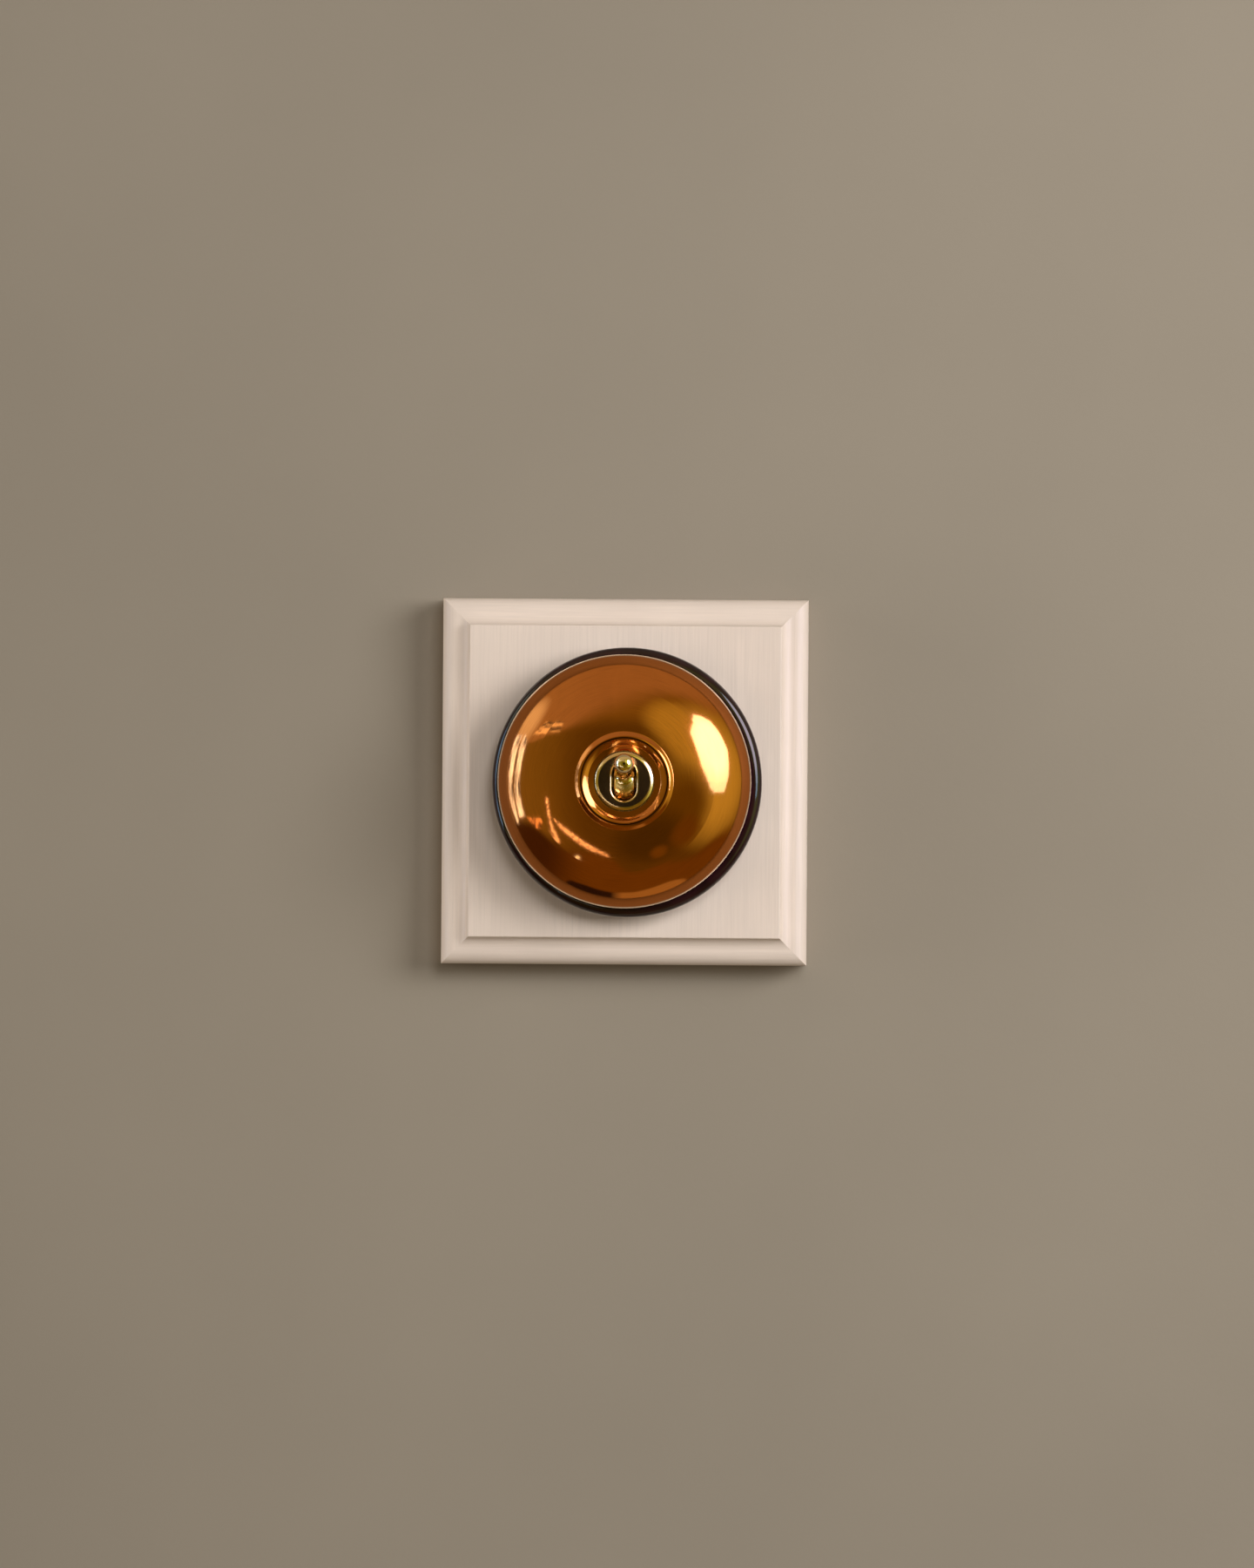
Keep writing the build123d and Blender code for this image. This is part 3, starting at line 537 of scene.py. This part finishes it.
def with_ceiling(nodes, x, z, room):
    """Ceiling over the room, whose edge is sharp at the left and soft in the middle, with a lit left end."""
    line = nodes.curve(
        x, [(-1.0, 0.33), (-0.88, 0.345), (-0.70, 0.395), (-0.44, 0.48), (-0.12, 0.64), (0.12, 0.745),
            (0.38, 0.80), (0.56, 0.765), (0.75, 0.65), (1.0, 0.42)]
    )
    softness = nodes.curve(
        x, [(-1.0, 0.015), (-0.55, 0.03), (-0.2, 0.14), (0.1, 0.15), (0.4, 0.07), (1.0, 0.06)]
    )
    over = nodes.math("DIVIDE", nodes.math("SUBTRACT", z, line), softness)
    ceiling = nodes.mix(nodes.span(x, -0.8, -0.2), solid((0.555, 0.46, 0.28)), solid((0.47, 0.37, 0.22)))
    ceiling = nodes.mix(nodes.near(-82, 32, 3, 17), ceiling, solid((1.2, 1.38, 1.43)))
    return nodes.mix(nodes.span(over, -1.0, 1.0, smooth=True), room, ceiling)


def with_floor(nodes, x, z, room):
    """Floor under the room, darker at the left."""
    line = nodes.curve(
        x, [(-1.0, -0.33), (-0.87, -0.375), (-0.56, -0.58), (-0.14, -0.65), (0.05, -0.80), (0.36, -0.73),
            (0.58, -0.70), (0.73, -0.60), (1.0, -0.30)]
    )
    under = nodes.span(nodes.math("SUBTRACT", line, z), -0.05, 0.05, smooth=True)
    floor = nodes.mix(
        nodes.span(x, -0.75, -0.3, smooth=True), solid((0.075, 0.041, 0.009)), solid((0.20, 0.12, 0.0125))
    )
    return nodes.mix(under, room, floor)


def with_bench(nodes, x, z, room):
    """Bench close under the switch, dark at the left and pale at the right."""
    line = nodes.curve(
        x, [(-1.0, -0.80), (-0.5, -0.866), (-0.40, -0.906), (-0.18, -0.974), (0.0, -0.99), (0.18, -0.970),
            (0.44, -0.883), (0.55, -0.839), (1.0, -0.60)]
    )
    under = nodes.span(nodes.math("SUBTRACT", line, z), -0.004, 0.004, smooth=True)
    bench = nodes.mix(nodes.span(x, -0.12, -0.02), solid((0.03, 0.02, 0.02)), solid((0.48, 0.39, 0.19)))
    return nodes.mix(under, room, bench)


def painted_room(nodes):
    """Colours of the room that the metal mirrors: x runs across and z up the disc of directions in front."""
    x, _, z = nodes.axes()
    room = room_walls(nodes, x, z)
    room = with_ceiling(nodes, x, z, room)
    room = with_floor(nodes, x, z, room)
    return with_bench(nodes, x, z, room)


def room_light(stage):
    """World: plain for the camera, an even fill for matt surfaces, and the painted room for mirrors."""
    world = bpy.data.worlds.new("room")
    bpy.context.scene.world = world
    world.use_nodes = True
    backdrop = solid((0.78, 0.76, 0.73))
    nodes = Nodes(world.node_tree, "Generated")
    path = nodes.add("ShaderNodeLightPath")
    seen = nodes.mix(path.outputs["Is Glossy Ray"], solid(stage.fill), painted_room(nodes))
    seen = nodes.mix(path.outputs["Is Camera Ray"], seen, backdrop)
    background = nodes.add("ShaderNodeBackground")
    nodes.join(seen, background.inputs["Color"])
    output = nodes.add("ShaderNodeOutputWorld")
    nodes.join(background.outputs[0], output.inputs["Surface"])


def reflections():
    """Cards that the polished metal mirrors: the softbox, the window and the bright things beside it."""
    softbox_distance = 1.1
    room_distance = 1.6
    daylight = (9.0, 7.6, 12.0)
    cool = (3.0, 4.3, 7.2)
    softbox = [
        (38, 25), (42, 30), (49, 37), (58, 36.5), (67, 33), (71, 27), (74, 17), (70, 4), (64, -5), (49, -5),
        (41, 8), (39, 17),
    ]
    card("softbox", softbox, softbox_distance, glow("softbox_glow", daylight, edge=cool, reach=0.42))
    streaky = glow("window_glow", (3.1, 4.6, 8.4), bars=(34, 34, 3.0))
    patch = glow("patch_glow", (1.95, 1.95, 1.7), bars=(5, 5, 22))
    ember = glow("ember_glow", (2.4, 1.7, 1.1), bars=(14, 14, 14))
    bright = glow("streak_glow", (3.6, 3.4, 3.6), bars=(45, 45, 30))
    dot = glow("dot_glow", (3.0, 4.2, 6.0))
    outlines = {
        "window_left": (streaky, [(-87, -22), (-82, -20), (-81, 24), (-90, 23)]),
        "window_right": (streaky, [(-79.5, -19), (-71, -18), (-70.5, 21), (-78, 25)]),
        "shelf": (patch, [(-66, 24), (-38, 25), (-38, 31), (-57, 32)]),
        "ember": (ember, [(-68, -19), (-50, -19), (-55, -25), (-63, -25)]),
        "slope": (bright, [(-40, -18), (-38, -22), (-24, -34), (-9, -40), (-11, -37), (-28, -26)]),
        "post": (bright, [(-43, -8), (-41, -8), (-42, -18), (-41, -32), (-45, -32), (-44, -20)]),
        "dot": (dot, [(-34, -40.5), (-32, -40), (-30.5, -41), (-32, -42), (-34, -42)]),
    }
    for name, (material, corners) in outlines.items():
        card(name, corners, room_distance, material)


def wall(stage):
    """Wall behind the switch, open where the block covers it, so that light reaches the block's back."""
    side = 4.0
    opening = 94.0 * MM
    gap = 0.2 * MM
    bpy.ops.mesh.primitive_plane_add(size=side, rotation=(pi / 2, 0, 0))
    piece = bpy.context.object
    piece.name = "wall"
    bpy.ops.object.transform_apply(location=False)
    bpy.ops.object.mode_set(mode="EDIT")
    bpy.ops.mesh.select_all(action="SELECT")
    bpy.ops.mesh.inset(thickness=(side - opening) / 2, depth=0.0)
    bpy.ops.mesh.delete(type="FACE")
    bpy.ops.mesh.select_all(action="SELECT")
    bpy.ops.mesh.normals_make_consistent(inside=False)
    bpy.ops.object.mode_set(mode="OBJECT")
    if piece.data.polygons[0].normal.y > 0:
        piece.data.flip_normals()
    piece.data.transform(Matrix.Translation((0, gap, 0)))
    piece.data.materials.append(wall_paint(stage))


def camera(stage):
    """Camera in front of the wall, almost square on and a little rolled, framed as the photo is."""
    sensor = 36.0
    aim = Vector((0.5 * MM, 0.0, -0.5 * MM))
    bpy.ops.object.camera_add()
    piece = bpy.context.object
    piece.name = "camera"
    piece.data.sensor_fit = "HORIZONTAL"
    piece.data.sensor_width = sensor
    piece.data.lens = sensor * stage.camera_distance / stage.view_width
    stand = aim + towards(0.3, -0.3) * stage.camera_distance
    turn = (stand - aim).to_track_quat("Z", "Y").to_matrix().to_4x4()
    piece.matrix_world = Matrix.Translation(stand) @ turn @ Matrix.Rotation(radians(0.4), 4, "Z")
    bpy.context.scene.camera = piece


# Operators


class SWITCH_OT_block(bpy.types.Operator):
    """Paints the moulded wood block"""

    bl_idname = "switch.block"
    bl_label = "Paint the block"

    def execute(self, context):
        dress(nodes_with_slot("painted_wood"), painted_wood(context.scene.switch_finish))
        return {"FINISHED"}


class SWITCH_OT_base(bpy.types.Operator):
    """Glazes the ceramic base"""

    bl_idname = "switch.base"
    bl_label = "Glaze the base"

    def execute(self, context):
        dress(nodes_with_slot("dark_glaze"), glazed(context.scene.switch_finish))
        return {"FINISHED"}


class SWITCH_OT_cover(bpy.types.Operator):
    """Polishes the copper cover"""

    bl_idname = "switch.cover"
    bl_label = "Polish the cover"

    def execute(self, context):
        finish = context.scene.switch_finish
        rim = (finish.worn_edge, COVER_RADIUS - 0.45 * MM, COVER_SEAT + 3.6 * MM)
        dress(["cover"], polished_metal("copper", finish.copper, 0.075, 0.0008 * MM, 7000.0, edge=rim))
        return {"FINISHED"}


class SWITCH_OT_nozzle(bpy.types.Operator):
    """Polishes the nozzle and the dolly"""

    bl_idname = "switch.nozzle"
    bl_label = "Polish the nozzle and dolly"

    def execute(self, context):
        finish = context.scene.switch_finish
        dress(["nozzle"], polished_metal("polished_nozzle", finish.nozzle, 0.16, 0.0006 * MM, 9000.0))
        drum = (finish.warm_brass, 0.2, 5.4 * MM)
        dress(
            ["dolly"],
            polished_metal("polished_dolly", finish.pale_brass, 0.07, 0.0002 * MM, 9000.0, satin=drum),
        )
        return {"FINISHED"}


class SWITCH_OT_inside(bpy.types.Operator):
    """Finishes the terminals, contacts, screws and spring inside"""

    bl_idname = "switch.inside"
    bl_label = "Finish the inside"

    def execute(self, context):
        finish = context.scene.switch_finish
        dress(nodes_with_slot("brass"), plain_metal("brass", finish.brass, 0.28))
        dress(nodes_with_slot("silver"), plain_metal("silver", finish.silver, 0.25))
        dress(nodes_with_slot("screw_steel"), plain_metal("screw_steel", finish.steel, 0.32))
        spring_steel = plain_metal("spring_steel", finish.steel, 0.3)
        dress(nodes_with_slot("spring_steel"), spring_steel)
        plunger_spring(spring_steel)
        dress(nodes_with_slot("nylon"), plain_metal("nylon", finish.nylon, 0.5, metallic=0.0))
        return {"FINISHED"}


class SWITCH_OT_stage(bpy.types.Operator):
    """Sets up the wall, the camera and the light"""

    bl_idname = "switch.stage"
    bl_label = "Set the stage"

    def execute(self, context):
        stage = context.scene.switch_stage
        context.scene.view_settings.view_transform = "Standard"
        wall(stage)
        camera(stage)
        room_light(stage)
        reflections()
        white = (1.0, 1.0, 1.0)
        cool = (0.97, 1.0, 1.05)
        warm = (1.0, 0.97, 0.93)
        lamp("key", towards(44, 13), 1.1, 0.6, 0.5, stage.key_power, white)
        lamp("front", towards(10, 16), 1.6, 0.4, 0.4, stage.front_power, cool)
        lamp("window_light", towards(-79, 1), 1.6, 0.5, 1.3, stage.window_power, warm)
        lamp("behind", towards(180, 20), 0.9, 0.8, 0.8, stage.back_power, warm)
        return {"FINISHED"}


class SWITCH_PT_panel(bpy.types.Panel):
    """Lists the steps that finish the switch"""

    bl_idname = "SWITCH_PT_panel"
    bl_label = "Dolly switch"
    bl_space_type = "VIEW_3D"
    bl_region_type = "UI"
    bl_category = "Switch"

    def draw(self, context):
        for operator in OPERATORS:
            self.layout.operator(operator.bl_idname)
        for group in (context.scene.switch_finish, context.scene.switch_stage):
            for name in group.__annotations__:
                self.layout.prop(group, name)


OPERATORS = (
    SWITCH_OT_block, SWITCH_OT_base, SWITCH_OT_cover, SWITCH_OT_nozzle, SWITCH_OT_inside, SWITCH_OT_stage,
)
CLASSES = (SwitchFinish, SwitchStage, *OPERATORS, SWITCH_PT_panel)


def register():
    for cls in CLASSES:
        bpy.utils.register_class(cls)
    bpy.types.Scene.switch_finish = PointerProperty(type=SwitchFinish)
    bpy.types.Scene.switch_stage = PointerProperty(type=SwitchStage)


def unregister():
    del bpy.types.Scene.switch_stage
    del bpy.types.Scene.switch_finish
    for cls in reversed(CLASSES):
        bpy.utils.unregister_class(cls)


def main():
    register()
    bpy.ops.object.select_all(action="DESELECT")
    bpy.ops.switch.block()
    bpy.ops.switch.base()
    bpy.ops.switch.cover()
    bpy.ops.switch.nozzle()
    bpy.ops.switch.inside()
    bpy.ops.switch.stage()
    bpy.context.view_layer.update()


if __name__ == "__main__":
    main()
